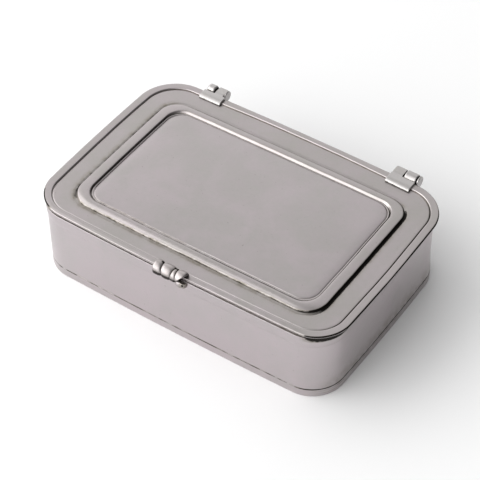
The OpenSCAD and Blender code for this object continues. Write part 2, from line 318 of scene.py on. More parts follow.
def nets(name, f, lo, hi, step, near=None, h_ao=0.55, shade_paint=None):
    """Meshes the surface f = 0 inside the box, and gives it cavity and edge values from the field itself; the cavity
    values darken crevices as patina and as painted shade.
    near is the field of what the piece stands against, so that the crevice between them counts. stain, if given, paints
    further shade on top."""
    lo, hi = np.array(lo, float), np.array(hi, float)
    n = np.ceil((hi - lo) / step).astype(int) + 1
    ax = [lo[i] + step * np.arange(n[i]) for i in range(3)]
    G = np.stack(np.meshgrid(*ax, indexing="ij"), -1)
    D = np.empty(G.shape[:3])
    for i in range(0, n[0], 24):
        D[i:i + 24] = f(G[i:i + 24])
    for i in range(3):
        s = [slice(None)] * 3
        for e in (0, -1):
            s[i] = e
            D[tuple(s)] = np.maximum(D[tuple(s)], 1e-3)
    acc = np.zeros((n[0] - 1, n[1] - 1, n[2] - 1, 3))
    cnt = np.zeros(acc.shape[:3])
    crosses = []
    I = np.stack(np.meshgrid(*[np.arange(k) for k in n], indexing="ij"), -1).astype(float)
    for a in range(3):
        s0, s1 = [slice(None)] * 3, [slice(None)] * 3
        s0[a], s1[a] = slice(0, -1), slice(1, None)
        d0, d1 = D[tuple(s0)], D[tuple(s1)]
        cr = (d0 < 0) != (d1 < 0)
        t = np.where(cr, d0 / np.where(cr, d0 - d1, 1.0), 0.0)
        pos = I[tuple(s0)].copy()
        pos[..., a] += t
        pos *= cr[..., None]
        o1, o2 = [k for k in range(3) if k != a]
        for u in (0, 1):
            for v in (0, 1):
                s = [slice(None)] * 3
                s[o1] = slice(u, n[o1] - 1 + u)
                s[o2] = slice(v, n[o2] - 1 + v)
                acc += pos[tuple(s)]
                cnt += cr[tuple(s)]
        crosses.append((cr, d0 < 0))
    used = cnt > 0
    vid = np.full(cnt.shape, -1, int)
    vid[used] = np.arange(used.sum())
    V = lo + step * acc[used] / cnt[used][:, None]
    quads = []
    for a in range(3):
        cr, ins = crosses[a]
        o1, o2 = [k for k in range(3) if k != a]
        if a == 1:
            o1, o2 = o2, o1
        w = np.argwhere(cr)
        ok = (w[:, o1] > 0) & (w[:, o2] > 0) & (w[:, o1] < n[o1] - 1) & (w[:, o2] < n[o2] - 1)
        w = w[ok]
        flip = ins[tuple(w.T)]

        def cell(du, dv):
            c = w.copy()
            c[:, o1] += du
            c[:, o2] += dv
            return vid[tuple(c.T)]

        q = np.stack([cell(-1, -1), cell(0, -1), cell(0, 0), cell(-1, 0)], 1)
        q[~flip] = q[~flip][:, ::-1]
        quads.append(q)
    q = np.concatenate(quads)
    e = 0.02

    def grad(P):
        g = np.stack([f(P + np.eye(3)[i] * e) - f(P - np.eye(3)[i] * e) for i in range(3)], -1)
        return g / np.maximum(np.linalg.norm(g, axis=-1, keepdims=True), 1e-9)

    for _ in range(2):
        V = V - grad(V) * np.clip(f(V), -step, step)[:, None]
    for _ in range(2):                                   # relax along the surface
        s, c = np.zeros_like(V), np.zeros(len(V))
        for i in range(4):
            np.add.at(s, q[:, i], V[q[:, (i + 1) % 4]] + V[q[:, (i + 3) % 4]])
            np.add.at(c, q[:, i], 2)
        V = V + 0.5 * (s / np.maximum(c, 1)[:, None] - V)
    nrm = grad(V)
    V = V - nrm * np.clip(f(V), -step, step)[:, None] * 0.8
    both = (lambda P: np.minimum(f(P), near(P))) if near else f
    patina_and_shade = np.clip(1 - both(V + nrm * h_ao) / h_ao, 0, 1)
    patina_and_shade = np.maximum(patina_and_shade, np.clip(1 - both(V + nrm * 0.2) / 0.2, 0, 1))
    edge = np.clip(1 + f(V - nrm * 0.22) / 0.22, 0, 1)
    # the extra field paints shade on top: darker there, and no rubbed edge
    if shade_paint is not None:
        s = shade_paint(V)
        patina_and_shade = np.clip(np.maximum(patina_and_shade, s), 0, 1.3)
        edge = edge * (1 - np.clip(s, 0, 1))
    if volume(V, q) < 0:
        q = q[:, ::-1]
    return make_mesh(name, V, (q, []), {"patina_and_shade": patina_and_shade, "edge": edge})


# ------------------------------------------------------------------ hand-made irregularity


def lid_shape(V):
    """The lid's sheet isn't dead flat, and its outline isn't dead straight."""
    x, y, z = V[..., 0], V[..., 1], V[..., 2]
    V = V.copy()
    V[..., 2] = z + 0.045 * LID_Z(x, y) * sstep(1.5, 6, 55.8 - np.abs(x)) * sstep(1.5, 6, 37.4 - np.abs(y))
    V[..., 0] = np.clip(x, -LID[0] / 2, LID[0] / 2)
    return V


def wall_shape(V):
    x, y, z = V[..., 0], V[..., 1], V[..., 2]
    s = np.arctan2(y / 36, x / 54) * 45
    a = 0.05 * (WALL_N(s, z * 1.3) - 0.6) * sstep(0.5, 5, z) * sstep(0.3, 4, WALL_TOP - z)
    a = a - 0.45 * W_RIGHT * sstep(-5, 8, y) * sstep(3, 12, z)
    V = V.copy()
    V[..., 0] += NX * a
    V[..., 1] += NY * a
    return V


# how far the front edge of the lid stands back from the even outline
FRONT_IN = W_FRONT * (0.98 + 0.12 * sstep(2, 14, BX)) * (1 - 0.5 * sstep(42, 52, np.abs(BX)))
FINE_IN = waves(41, 9, 2.5, 9)
GROOVE = 0.10 * W_FRONT - (0.85 - 0.25 * (BX / 24.0) ** 2).clip(0.3) * W_BACK - 0.15 * W_RIGHT


def lid_shift(d):
    near_edge = FRONT_IN * (1 - 0.45 * sstep(0.6, 2.9, d) - 0.55 * sstep(2.9, 6.5, d))
    tent = d / RIM_W if d < RIM_W else max(0.0, 1 - (d - RIM_W) / 5.0)
    return near_edge + GROOVE * tent + (0.10 * (EDGE_IN(BX, BY) + 0.25) + 0.035 * FINE_IN(BX * 0.9 + 31 * (d > 1.6), BY)) * (1 - sstep(3, 6, d)) * (d > 0.2)


def frame_shift(d):
    return 0.08 * EDGE_IN(BX + 17, BY) + 0.04 * FINE_IN(BX + 13 * round(d / 1.9), BY * 1.1)


# ------------------------------------------------------------------ pieces
pieces = []


def add(ob, node, body, slot):
    ob.name = node + "_skin"
    ob.data.name = ob.name
    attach(ob, body)
    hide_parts(node)
    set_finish(ob, slot)
    pieces.append((ob, node))
    return ob


def flat_rows(d0, d1, z, n, c=0.0):
    return [(d0 + (d1 - d0) * (i / n) ** 1.3, z, c if i == 0 else 0.0, 0.0) for i in range(1, n + 1)]


# painted shade: under the lid's corners and along the right-hand side, and a seam there that is painted darker
AZ = np.degrees(np.arctan2(NY, NX)) % 360


def arc(a0, a1, soft):
    """1 between two directions round the box, falling off over soft degrees."""
    c, h = (a0 + a1) / 2, (a1 - a0) / 2
    off = np.abs((AZ - c + 180) % 360 - 180)
    return 1 - sstep(h, h + soft, off)


RIGHT_LONG = (NX > 0.985) * 1.0
NOSE = arc(296, 352, 16) * (1 - RIGHT_LONG)
HEEL = arc(208, 238, 12)
# the next three masks: the seam's dark joint, painted darker as shade on the right; painted shade under the lid's edge;
# painted shade on the rim's outer side
SEAM_AND_SIDE_SHADE = np.clip(1.0 + 0.30 * np.maximum(W_RIGHT, arc(292, 360, 12)) - 0.10 * W_FRONT, 0, 1.2)
GAP_SHADE = np.clip(0.14 + 1.15 * np.maximum(W_RIGHT, NOSE) + 0.5 * HEEL, 0, 1.3)
RIM_SIDE_SHADE = np.clip(1.3 * np.maximum(W_RIGHT, NOSE) + 1.25 * HEEL, 0, 1.3)

# base pan: a shallow raised tray
rows = [(30, 0.30, 0, 0), (16, 0.30, 0, 0), (4.2, 0.30, 0, 0), (3.6, 0.26, 0.3, 0), (3.2, 0.08, 0.0, 0.2), (2.7, 0.0, 0, 0.5)]
# the tray's right-hand side is painted darker low down, as shade
rows += rows_of([(2.2, 0.0, 0, 0, 0.3), (0.10, 0.0, 0.12, 0, 0.3), (0.0, 0.22, 0.2, 0, 0.1), (0.0, 1.2, 0.8, 0.75 * W_RIGHT, 0), (0.0, 2.2, 0, 1.0 * W_RIGHT, 0), (0.0, PAN_H, 0.13, SEAM_AND_SIDE_SHADE, 0), (0.5, PAN_H, 0, 1, 0)])
rows += rows_of([(1.5, PAN_H - 0.01, 0, 0, 0), (1.5, 1.0, 0.9, 0.55, 0), (6, 1.0, 0, 0, 0)])
rows += [(12, 1.0, 0, 0), (22, 1.0, 0, 0), (32, 1.0, 0, 0)]
base_pan = sweep("pan", WALL, rows, closed=False, caps=("first", "last"), lift=wall_shape)
add(base_pan, "base_pan", "box", "pewter_wall")

# side wall
rows = rows_of([(0.0, PAN_H, 0.12, SEAM_AND_SIDE_SHADE, 0), (0.0, 9, 0, 0, 0), (0.0, 16, 0, 0, 0), (0.0, 21.8, 0, 0, 0), (0.0, WALL_TOP, 0.12, 0.6, 0),
                (1.5, WALL_TOP, 0.22, 0, 0.8), (1.5, 20, 0, 0, 0), (1.5, 12, 0, 0, 0), (1.5, 6, 0, 0, 0), (1.5, PAN_H, 0.05, 0.6, 0)], closed=True)
dense = []
for i, r in enumerate(rows):
    dense.append(r)
    s = rows[(i + 1) % len(rows)]
    g = math.hypot(s[0] - r[0], s[1] - r[1])
    for k in range(1, int(g // 2.2) + 1):
        t = k / (int(g // 2.2) + 1)
        dense.append((r[0] + (s[0] - r[0]) * t, r[1] + (s[1] - r[1]) * t, 0.0, 0.0))
# painted shade: the right-hand wall darker towards its foot
dense = [(d, z, np.maximum(c, 0.40 * W_RIGHT * (1 - float(sstep(3, 11, z)))) if d < 0.05 else c, e) for d, z, c, e in dense]
side_wall = sweep("wall", WALL, dense, lift=wall_shape)
add(side_wall, "side_wall", "box", "pewter_wall")

# the band round the top of the wall, painted darker as shade under the lid's edge, along the right-hand side and round
# the front-right corner
rows = rows_of([(0.1, WALL_TOP - 4.05, 0, 0.9, 0), (-0.02, WALL_TOP - 4.05, 0.05, 0.55 + 0.6 * W_RIGHT * sstep(6, -4, BY), 0), (-0.10, WALL_TOP - 3.97, 0.0, 0.3 + 0.8 * W_RIGHT * sstep(6, -4, BY), 0), (-0.17, WALL_TOP - 3.80, 0.15, 0.35 * W_RIGHT * sstep(6, -4, BY), 0.1), (-0.3, WALL_TOP - 2.6, 1.5, 0, 0), (-0.3, WALL_TOP - 2.2, 0, 0.5 * W_RIGHT * sstep(-6, 6, BY), 0), (-0.3, WALL_TOP - 1.75, 0, W_RIGHT * (0.25 + 0.9 * sstep(-6, 6, BY)), 0), (-0.3, WALL_TOP - 1.4, 0, 1.25 * W_RIGHT + 0.35 * NOSE, 0), (-0.3, WALL_TOP - 0.8, 0, 1.25 * W_RIGHT + 0.7 * NOSE, 0),
                (-0.3, WALL_TOP - 0.02, 0.10, GAP_SHADE, 0), (0.1, WALL_TOP - 0.02, 0, 1.1, 0)], closed=True)
band = sweep("band", WALL, rows, lift=wall_shape)
add(band, "wall_rim_band", "box", "pewter_wall")

# lid plate: its edge shows under the rim, its flat between the rim and the frame
rows = [(33, PLATE_Z, 0, 0), (20, PLATE_Z, 0, 0), (8, PLATE_Z, 0, 0)]
rows += rows_of([(4.2, PLATE_Z, 0, 0.2, 0), (0.35, PLATE_Z, 0.12, GAP_SHADE * 0.9, 0)])
# the plate's edge is painted dark as shade under the lid, with a painted highlight line at the front-right corner
rows[-1] = (0.35 - 0.30 * NOSE, PLATE_Z + 0.02, GAP_SHADE, 0)
rows += [(0.35 - 0.30 * NOSE, RIM_Z - 0.22, GAP_SHADE, 0), (0.35 - 0.30 * NOSE, RIM_Z - 0.18, GAP_SHADE * (1 - NOSE), 0.9 * NOSE), (0.35 - 0.27 * NOSE, RIM_Z - 0.06, GAP_SHADE * (1 - NOSE), 0.9 * NOSE), (0.38 - 0.22 * NOSE, RIM_Z - 0.03, GAP_SHADE, 0.2 * NOSE), (1.2, RIM_Z - 0.02, 1, 0)]
dip = 0.12 - 0.02 * W_FRONT + 0.09 * W_FRONT * sstep(-8, 6, BX)
# the groove's patina plus painted shade: darker on the right, lighter on the left, and a painted highlight on its front
# slope
groove_patina_and_shade = 0.70 + 0.6 * W_RIGHT - 0.48 * W_LEFT + 0.12 * W_FRONT + 0.25 * W_FRONT * sstep(-8, 10, BX)
rows += [(RIM_W - 0.12, RIM_Z + 0.02, 0.7, 0), (RIM_W + 0.02, FLAT - dip - 0.01, groove_patina_and_shade, 0), (RIM_W + 0.10 + 0.08 * W_RIGHT, FLAT - dip, groove_patina_and_shade * (0.6 + 0.4 * W_RIGHT), 0), (RIM_W + 0.20 + 0.08 * W_RIGHT, FLAT - dip * 0.88, 0.1 + 1.1 * W_RIGHT, 0), (RIM_W + 0.34, FLAT - dip * 0.48, 0.55 * W_RIGHT, 0.3 * W_FRONT),
         (RIM_W + 0.45, FLAT - dip * 0.15, 0, 0.3 * W_FRONT), (RIM_W + 0.58, FLAT - dip * 0.03, 0, 0), (RIM_W + 1.0, FLAT, 0, 0)]
rows += [(4.7, FLAT, 0, 0)]
# darkening on the flat towards the frame's foot: olive film plus painted shade, near-black along the right-hand side
foot_film_and_shade = 0.80 * W_LEFT + 0.42 * W_FRONT + 0.50 * W_RIGHT + 0.02 * W_BACK
rows += [(d + 0.50 * W_BACK, FLAT - g * (1 - 0.35 * W_BACK), np.maximum(c * foot_film_and_shade, (1.3 if d > -0.25 else 0.8 if d > -0.45 else 0.0) * W_RIGHT), 0, FRAME) for d, g, c in (
    (-3.0, 0.0, 0), (-2.3, 0.0, 0.08), (-1.8, 0.0, 0.2), (-1.4, 0.005, 0.35), (-1.0, 0.015, 0.5), (-0.78, 0.01, 0.65), (-0.60, 0.035, 0.8), (-0.40, 0.085, 0.9), (-0.20, 0.15, 1.0), (0.0, 0.19, 1.2), (0.3, 0.18, 1.3), (0.8, 0.18, 1.3), (1.4, 0.12, 0.2))]
rows += [(3.0, FLAT - 0.05, 0, 0, FRAME), (8.0, FLAT - 0.05, 0, 0, FRAME), (16, FLAT - 0.05, 0, 0, FRAME), (24, FLAT - 0.05, 0, 0, FRAME)]
lid_plate = sweep("plate", LID, rows, closed=False, caps=("first", "last"), shift=lid_shift, lift=lid_shape)
add(lid_plate, "lid_plate", "lid", "pewter_lid")

# raised rim: a broad rounding along the front, a tighter one elsewhere
soft = 0.42 - 0.22 * W_FRONT + 0.1 * W_RIGHT - 0.1 * NOSE
sag = 0.17 * W_FRONT * (1 - NOSE)
back_in = 0.42 * W_FRONT * (1 - NOSE)
low = RIM_Z + 0.22 - 0.12 * W_FRONT * (1 - NOSE) + 0.10 * NOSE
# painted shade on the rim's outer side along the right and at the front corners, and a painted highlight at the
# front-right corner
rows = [(0.50 + back_in, RIM_Z + 0.0, 1, 0), (0.16 + back_in, RIM_Z + 0.01, 1, 0.3 * NOSE), (0.05 + back_in, RIM_Z + 0.04, 0.15 * (1 - NOSE) + 0.95 * W_RIGHT, 0.2 + 0.8 * NOSE - 0.2 * W_RIGHT), (0.01 + back_in, RIM_Z + 0.08, 0.95 * RIM_SIDE_SHADE, 0),
        (0.0 + back_in, low - 0.02, RIM_SIDE_SHADE, 0.4 * (1 - RIM_SIDE_SHADE).clip(0))]
for i in range(1, 10):
    a = math.radians(90 * i / 9)
    rows.append((back_in + soft * (1 - math.cos(a)), low + (RIM_TOP - sag - low) * math.sin(a), np.maximum(RIM_SIDE_SHADE * (1.0 if i < 6 else 0.85 if i == 6 else 0.9 * NOSE if i == 7 else 0.4 * NOSE if i == 8 else 0.0), 1.25 * HEEL), 0.5 * (1 - i / 9) * (1 - RIM_SIDE_SHADE).clip(0)))
for t in (0.12, 0.27, 0.45, 0.68, 1.0):
    rows.append((back_in + soft + (1.72 - back_in - soft) * t, RIM_TOP - sag * (1 - t) ** 1.7, 0, 0))
rows += [(1.95, RIM_TOP, 0, 0)]
rows += rows_of([(2.15, RIM_TOP, 0, 0, 0), (RIM_W - 0.28, RIM_TOP - 0.01, 0.25, 0, 0.3), (RIM_W - 0.04, FLAT + 0.14, 0.05, 1.2 * W_RIGHT, 0), (RIM_W - 0.02, FLAT - 0.12, 0.05, groove_patina_and_shade, 0), (RIM_W - 0.02, RIM_Z + 0.05, 0, 0.7, 0)])
rows += [(RIM_W - 0.3, RIM_Z, 0, 0), (1.5, RIM_Z, 0, 0)]
lid_rim = sweep("rim", LID, rows, shift=lid_shift, lift=lid_shape)
add(lid_rim, "lid_rim", "lid", "pewter_lid")

# frame: low outer fillet, steep wall, cushion, steep inner wall
H = FLAT
steep = np.clip(1.25 * W_RIGHT + 0.15, 0, 1.3)
# painted shade on the frame's steep outer wall: black along the right and round the front-right corner, dark along the
# front
outer_wall_shade = 1.3 * np.maximum(W_RIGHT, arc(316, 360, 14)) + 0.62 * W_FRONT * (1 - arc(316, 360, 14))
fs = 0.30 * W_FRONT
fb = 0.20 * W_BACK
fo = fs + fb
bk = 0.75 * W_BACK
rs = 0.10 * W_RIGHT


def fall(d):
    """The front side of the frame is a cushion that falls towards its outer edge."""
    return 0.50 * W_FRONT * max(0.0, (2.9 - d) / 2.2) ** 2.3


# painted shade where the back of the frame slopes away; the cushion's outer shoulder gets a painted highlight, except
# at the back and on the right
back_wall_shade = 0.40 * W_BACK
rows = [(0.30 + fo, H - 0.30, 0.9, 0), (0.34 + fo, H - 0.17, 0.3 + outer_wall_shade, 0), (0.38 + fo, H - 0.08, 0.25 + outer_wall_shade, 0), (0.42 + fo + 0.2 * bk, H + 0.06, 0.15 + outer_wall_shade + 0.6 * back_wall_shade, 0), (0.47 + fo + 0.35 * bk, H + 0.24 - 0.08 * W_FRONT, 0.12 + outer_wall_shade + back_wall_shade, 0),
        (0.53 + fo - rs + 0.6 * bk, H + 0.45 - 0.20 * W_FRONT, outer_wall_shade + back_wall_shade, 0.0), (0.58 + fo - 1.5 * rs + 0.75 * bk, H + 0.60 - 0.29 * W_FRONT, outer_wall_shade + back_wall_shade, 0.0), (0.64 + fo - 1.7 * rs + 0.9 * bk, H + 0.715 - 0.35 * W_FRONT, outer_wall_shade * 0.85 + back_wall_shade, 0.0),
        (0.74 + fo - 2 * rs + bk, H + 0.785 - 0.8 * fall(0.8), 0.85 * W_RIGHT + 0.5 * back_wall_shade, 0.3 * (1 - W_BACK) * (1 - W_RIGHT)), (0.92 + 0.8 * fo - 2 * rs + bk, H + 0.830 - fall(0.95), 0.2 * back_wall_shade, 0.15),
        (1.25 + 0.7 * fs - 2 * rs + bk, H + 0.865 - fall(1.4), 0, 0.1), (1.75 + 0.5 * fs + 0.6 * bk, H + 0.895 - fall(1.85), 0, 0), (2.2 + 0.2 * fs + 0.3 * bk, H + 0.915 - fall(2.25), 0, 0), (2.7, H + 0.928 - fall(2.7), 0, 0)]
inn = 0.42 * W_FRONT - 0.24 * W_LEFT
out_b = 0.30 * W_BACK
# the back crown is dulled with painted shade, the inner shoulder gets a painted highlight except at the back, and the
# crevice against the panel is darkened
rows += [(3.15 - inn, H + 0.930, 0, 0), (3.45 - inn, H + 0.920, 0.14 * W_BACK, 0), (3.62 - inn, H + 0.895, 0.26 * W_BACK, 0.1 * (1 - W_BACK)), (3.74 - inn, H + 0.845, 0.30 * W_BACK, 0.3 * (1 - W_BACK)), (3.82 - inn * 0.8, H + 0.770, 0.30 * W_BACK, 0.3 * (1 - W_BACK)), (3.87 - inn * 0.5 + 0.05 * W_BACK, H + 0.66, 0.1, 0.1),
         (3.92 - 0.2 * inn + 0.4 * out_b, H + 0.45, 0.25 * (1 - W_BACK) * (1 - 0.8 * W_LEFT), 0), (3.96 + 0.75 * out_b, H + 0.26, 0.55 * (1 - 0.7 * W_BACK) * (1 - 0.5 * W_LEFT), 0), (3.99 + out_b, H + 0.13, 0.8 * (1 - 0.15 * W_BACK), 0), (4.03 + out_b, H - 0.02, 0.9, 0), (3.4, H - 0.2, 0.9, 0), (1.5, H - 0.3, 0.9, 0)]
lid_frame = sweep("frame", FRAME, rows, k=FRAME_K, lift=lid_shape, shift=frame_shift)
add(lid_frame, "lid_frame", "lid", "pewter_moulding")

# panel: a lower border strip, then the field with a rounded edge
rows = [(24.0, H - 0.02, 0, 0), (10.0, H - 0.02, 0, 0), (0.0, H - 0.02, 1, 0)]
# the lines round the panel: dark joints, painted darker as shade on the right, at the back and round the back-right
# corner
deep_seam_and_shade = np.clip(0.72 + 0.12 * W_FRONT + 0.25 * W_FRONT * sstep(-8, 10, BX) + 0.42 * W_BACK + 0.6 * W_RIGHT * sstep(-14, 4, BY) + 0.45 * arc(8, 88, 12) + 0.45 * W_BACK * sstep(14, 40, BX) + 0.25 * W_LEFT, 0, 1.3)
thin_seam_and_shade = np.clip(0.58 + 0.5 * W_RIGHT * sstep(0, 12, BY) + 0.4 * arc(8, 88, 12) - 0.40 * W_LEFT - 0.1 * W_BACK * (1 - sstep(14, 40, BX)), 0, 1.2)
roll = 0.20 * np.maximum(W_LEFT, W_RIGHT) + 0.03 * W_FRONT + 0.01 * W_BACK
step_f = 1 - 0.9 * W_FRONT * (1 - sstep(-6, 8, BX))
rows += [(0.0, H + 0.10, deep_seam_and_shade, 0), (0.10, H + 0.11, deep_seam_and_shade, 0), (0.18, H + 0.15, deep_seam_and_shade * 0.8, 0), (0.26, H + 0.17, 0.1 + 0.9 * W_RIGHT * sstep(0, 10, BY), 0.1), (0.42, H + 0.18, 0, 0.1), (0.54, H + 0.165, 0.2, 0), (0.62, H + 0.13, thin_seam_and_shade, 0)]


def field(d):
    """Height of the panel: a slight crown, rolled off near its edge."""
    x, y = outline(PANEL[0] - 2 * d, PANEL[1] - 2 * d, PANEL[2] - 0.24 * d, PANEL[3])
    return H + 0.33 - roll * max(0.0, 1 - (d - 0.8) / 3.2) ** 2 + 0.40 * (1 - (y / 24.0) ** 2) * (1 - (x / 42.0) ** 4)


# the panel's rolled edge gets a painted highlight, except along the left half of the front
for d, e in ((0.67, 0.0), (0.76, 0.3), (0.88, 0.35), (1.02, 0.15), (1.25, 0), (1.6, 0), (2.0, 0), (2.4, 0), (2.9, 0), (3.5, 0), (4.3, 0), (5.4, 0), (7.0, 0), (9.0, 0), (11.0, 0), (13, 0), (15, 0), (17, 0), (19.0, 0), (21.0, 0), (23.2, 0)):
    lowered = 0.19 if d < 0.72 else 0.10 if d < 0.85 else 0.045 if d < 0.95 else 0.015 if d < 1.1 else 0.0
    z = field(d) - lowered * step_f - (0.05 * (1 - step_f) * max(0.0, 1 - (d - 0.66) / 0.7) ** 2)
    rows.append((d, z, thin_seam_and_shade * (0.9 if d < 0.72 else 0.3) if d < 0.85 else 0.0, e * step_f))
lid_panel = sweep("panel", PANEL, rows, k=0.24, closed=False, caps=("first", "last"), lift=lid_shape, shift=lambda d: frame_shift(d + 4) * (1 - float(sstep(1.5, 5, d))))
add(lid_panel, "lid_panel", "lid", "pewter_panel")

# locating lip under the lid
LIP = (WALL[0] - 3.7, WALL[1] - 3.7, WALL[2] - 1.85, WALL[3])
rows = rows_of([(0.0, PLATE_Z, 0.0, 1, 0), (0.0, PLATE_Z - 2.0, 0.25, 0, 0.5), (1.0, PLATE_Z - 2.0, 0.25, 0, 0.5), (1.0, PLATE_Z, 0.0, 1, 0)], closed=True)
lid_lip = sweep("lip", LIP, rows)
add(lid_lip, "lid_lip", "lid", "pewter_inside")


# ------------------------------------------------------------------ hinges
def lid_ground(P):
    return P[..., 2] - (RIM_TOP + 0.0)


def wall_ground(P):
    return P[..., 1] * -1 + 36.0 + 0.0 * P[..., 0]


def strap_field(strap, knuckle, front, crease, soft, barrel):
    """Strap over the rim: a front that rolls down from a crease which may run askew, a flat top, and a neck that curls into the knuckle."""
    sf, top = STRAP_FRONT, STRAP_TOP
    neck = [(sf + 1.2, RIM_TOP + 0.02), (sf + 1.2, top - 0.45), (sf + 3.0, top - 0.16), (HINGE_Y - 1.55, top - 0.02), (HINGE_Y - 0.9, HINGE_Z + KNUCKLE_R - 0.26),
            (HINGE_Y, HINGE_Z), (HINGE_Y - 1.0, RIM_TOP - 0.1), (LID[1] / 2 + 0.05, RIM_TOP + 0.02)]

    def f(P):
        x, y, z = P[..., 0], P[..., 1], P[..., 2]
        t = np.clip((x - strap[0]) / (strap[1] - strap[0]), 0, 1)
        ya, yb = front[0] + (front[1] - front[0]) * t, crease[0] + (crease[1] - crease[0]) * t
        za, zb = FLAT + 0.12, top + 0.02
        d = sd_box(P, (strap[0], sf - 1.0, FLAT), (strap[1], sf + 3.8, top), 0.16)
        curl = smin(sd_poly(P, neck, knuckle[0], knuckle[1], 0.10), sd_rod(P, knuckle[0], knuckle[1], HINGE_Y, HINGE_Z, KNUCKLE_R, 0.42), 0.35)
        d = smin(d, curl, 0.12)
        q = np.clip((yb - y) / (yb - ya), 0, 1)
        roll_top = za + (zb - za) * np.sqrt(np.clip(1 - q ** soft, 0.0004, 1))
        d = smax(d, np.minimum((z - roll_top) * 0.75, 5.0), 0.12)
        d = np.maximum(d, ya - y)
        d = np.maximum(d, -(np.maximum(z - RIM_TOP - 0.0, 35.35 - y)))           # its foot stands on the lid inside the rim
        if barrel:                                                             # room for the knuckle of the other leaf
            d = smax(d, -sd_rod(P, barrel[0] - 0.25, barrel[1] + 0.1, HINGE_Y, HINGE_Z, 2.62), 0.10)
        bore = sd_rod(P, knuckle[0] - 2, knuckle[1] + 2, HINGE_Y, HINGE_Z, PIN_R + 0.06)
        return smax(d, -bore, 0.05)

    return f


def plate_field(leaf, knuckle):
    ww = WALL[1] / 2
    arm = [(ww - 0.2, WALL_TOP - 3.4), (ww + 0.9, WALL_TOP - 3.4), (HINGE_Y + 1.0, HINGE_Z - 1.55), (HINGE_Y, HINGE_Z), (HINGE_Y - 1.55, WALL_TOP - 0.1), (ww - 0.2, WALL_TOP - 0.3)]

    def f(P):
        d = sd_box(P, (leaf[0], ww - 1.0, 14.5), (leaf[1], ww + 0.9, WALL_TOP - 1.8), 0.28)
        # two rivet heads on the leaf
        for x in (leaf[0] + 1.7, leaf[1] - 1.7):
            r = np.sqrt((P[..., 0] - x) ** 2 + ((P[..., 1] - (ww + 0.72)) * 1.8) ** 2 + (P[..., 2] - 17.4) ** 2) - 0.85
            d = smin(d, r * 0.7, 0.1)
        d = smin(d, sd_poly(P, arm, knuckle[0], knuckle[1], 0.15), 0.5)
        tap = np.clip((P[..., 0] - knuckle[0]) / (knuckle[1] - knuckle[0]), 0, 1)
        if leaf[0] < 0:
            barrel = sd_rod(P, knuckle[0], knuckle[1], HINGE_Y, HINGE_Z, KNUCKLE_R, 0.70)
        else:
            barrel = sd_rod(P, knuckle[0], knuckle[1], HINGE_Y - 0.32, HINGE_Z + 0.10, KNUCKLE_R + 0.30, 0.38) + 0.10 * tap
        d = smin(d, barrel, 0.25)
        bore = sd_rod(P, knuckle[0] - 2, knuckle[1] + 2, HINGE_Y, HINGE_Z, PIN_R + 0.01)
        d = smax(d, -bore, 0.05)
        back = np.abs(P[..., 1]) - (36.0 - 0.7 * (2 * P[..., 0] / 107.3) ** 2 + 0.02)
        wall = np.where(P[..., 2] > 22.15, back - 0.3, back)
        return np.maximum(d, -wall)

    return f


def pin_field(x0, x1, gap, head):
    """Pin with a domed head. A gap of 0 seats the head on the knuckle."""
    def f(P):
        d = sd_rod(P, x0 - 0.15, x1 + gap + 0.1, HINGE_Y, HINGE_Z, PIN_R, 0.1)
        h = sd_rod(P, x1 + gap, x1 + gap + 0.65, HINGE_Y + head[0], HINGE_Z + head[1], head[2], head[3])
        return smin(d, h, 0.08)

    return f


for side, strap, kn_lid, leaf, kn_box, pin, front, crease, soft in (
    ("left", (-39.1, -31.0), (HL[2], HL[3]), (HL[0], HL[3]), (HL[0], HL[1]), (HL[0], HL[3], -0.02, (0, 0, KNUCKLE_R - 0.02, 0.42)), (33.45, 33.5), (35.9, 36.0), 1.9),
    ("right", (32.3, 41.0), (HR[0], HR[1]), (HR[0], HR[3]), (HR[2], HR[3]), (HR[0], HR[3], 0.20, (-0.16, 0.02, KNUCKLE_R + 0.02, 0.22)), (33.10, 32.75), (35.3, 35.7), 2.3),
):
    lid_k, box_k, pin_k = strap_field(strap, kn_lid, front, crease, soft, kn_box if side == "right" else None), plate_field(leaf, kn_box), pin_field(*pin)
    clear = (min(kn_lid[1], kn_box[1]), max(kn_lid[0], kn_box[0]))             # the slot between the two knuckles

    def slot_shade(V, clear=clear, end=pin[1], gap=pin[2]):
        """The slots between knuckles, and under the pin's head, are painted black as shade."""
        rr = np.hypot(V[:, 1] - HINGE_Y, V[:, 2] - HINGE_Z)
        a = (V[:, 0] > clear[0] - 0.10) & (V[:, 0] < clear[1] + 0.10) & (rr < 2.6)
        b = (V[:, 0] > end - 0.12) & (V[:, 0] < end + gap + 0.08) & (gap > 0.05) & (rr < 2.6)
        return 1.3 * (a | b)

    ob = nets("strap_" + side, lid_k, (strap[0] - 0.4, 32.2, 24.6), (strap[1] + 0.4, 41.5, 29.2), 0.09, near=lambda P: np.minimum(lid_ground(P), box_k(P)), shade_paint=slot_shade)
    add(ob, "hinge_strap_" + side, "lid", "pewter_hinge")
    ob = nets("leaf_" + side, box_k, (leaf[0] - 0.4, 34.8, 14.2), (leaf[1] + 0.4, 41.5, 29.5), 0.11, near=lid_k, shade_paint=slot_shade)
    add(ob, "hinge_plate_" + side, "box", "pewter_hinge")
    ob = nets("pin_" + side, pin_k, (pin[0] - 0.5, HINGE_Y - 2.4, HINGE_Z - 2.4), (pin[1] + 1.2, HINGE_Y + 2.4, HINGE_Z + 2.4), 0.09, shade_paint=slot_shade if side == "right" else None)
    add(ob, "hinge_pin_" + side, "box", "pewter_pin")


# ------------------------------------------------------------------ thumb clasp and catch
def rounded_plan(P):
    """Plan outline of the clasp: square behind, its front corners rounded."""
    x, y = P[..., 0], P[..., 1]
    ax = np.where(x < 0, -x, x)
    r = np.where(x < 0, 1.2, 1.5)
    qx, qy = ax - (CLAW_X - r), -(y - CLAW_Y) - (2.4 - r)
    d = np.minimum(np.maximum(qx, qy), 0) + np.hypot(np.maximum(qx, 0), np.maximum(qy, 0)) - r
    return d


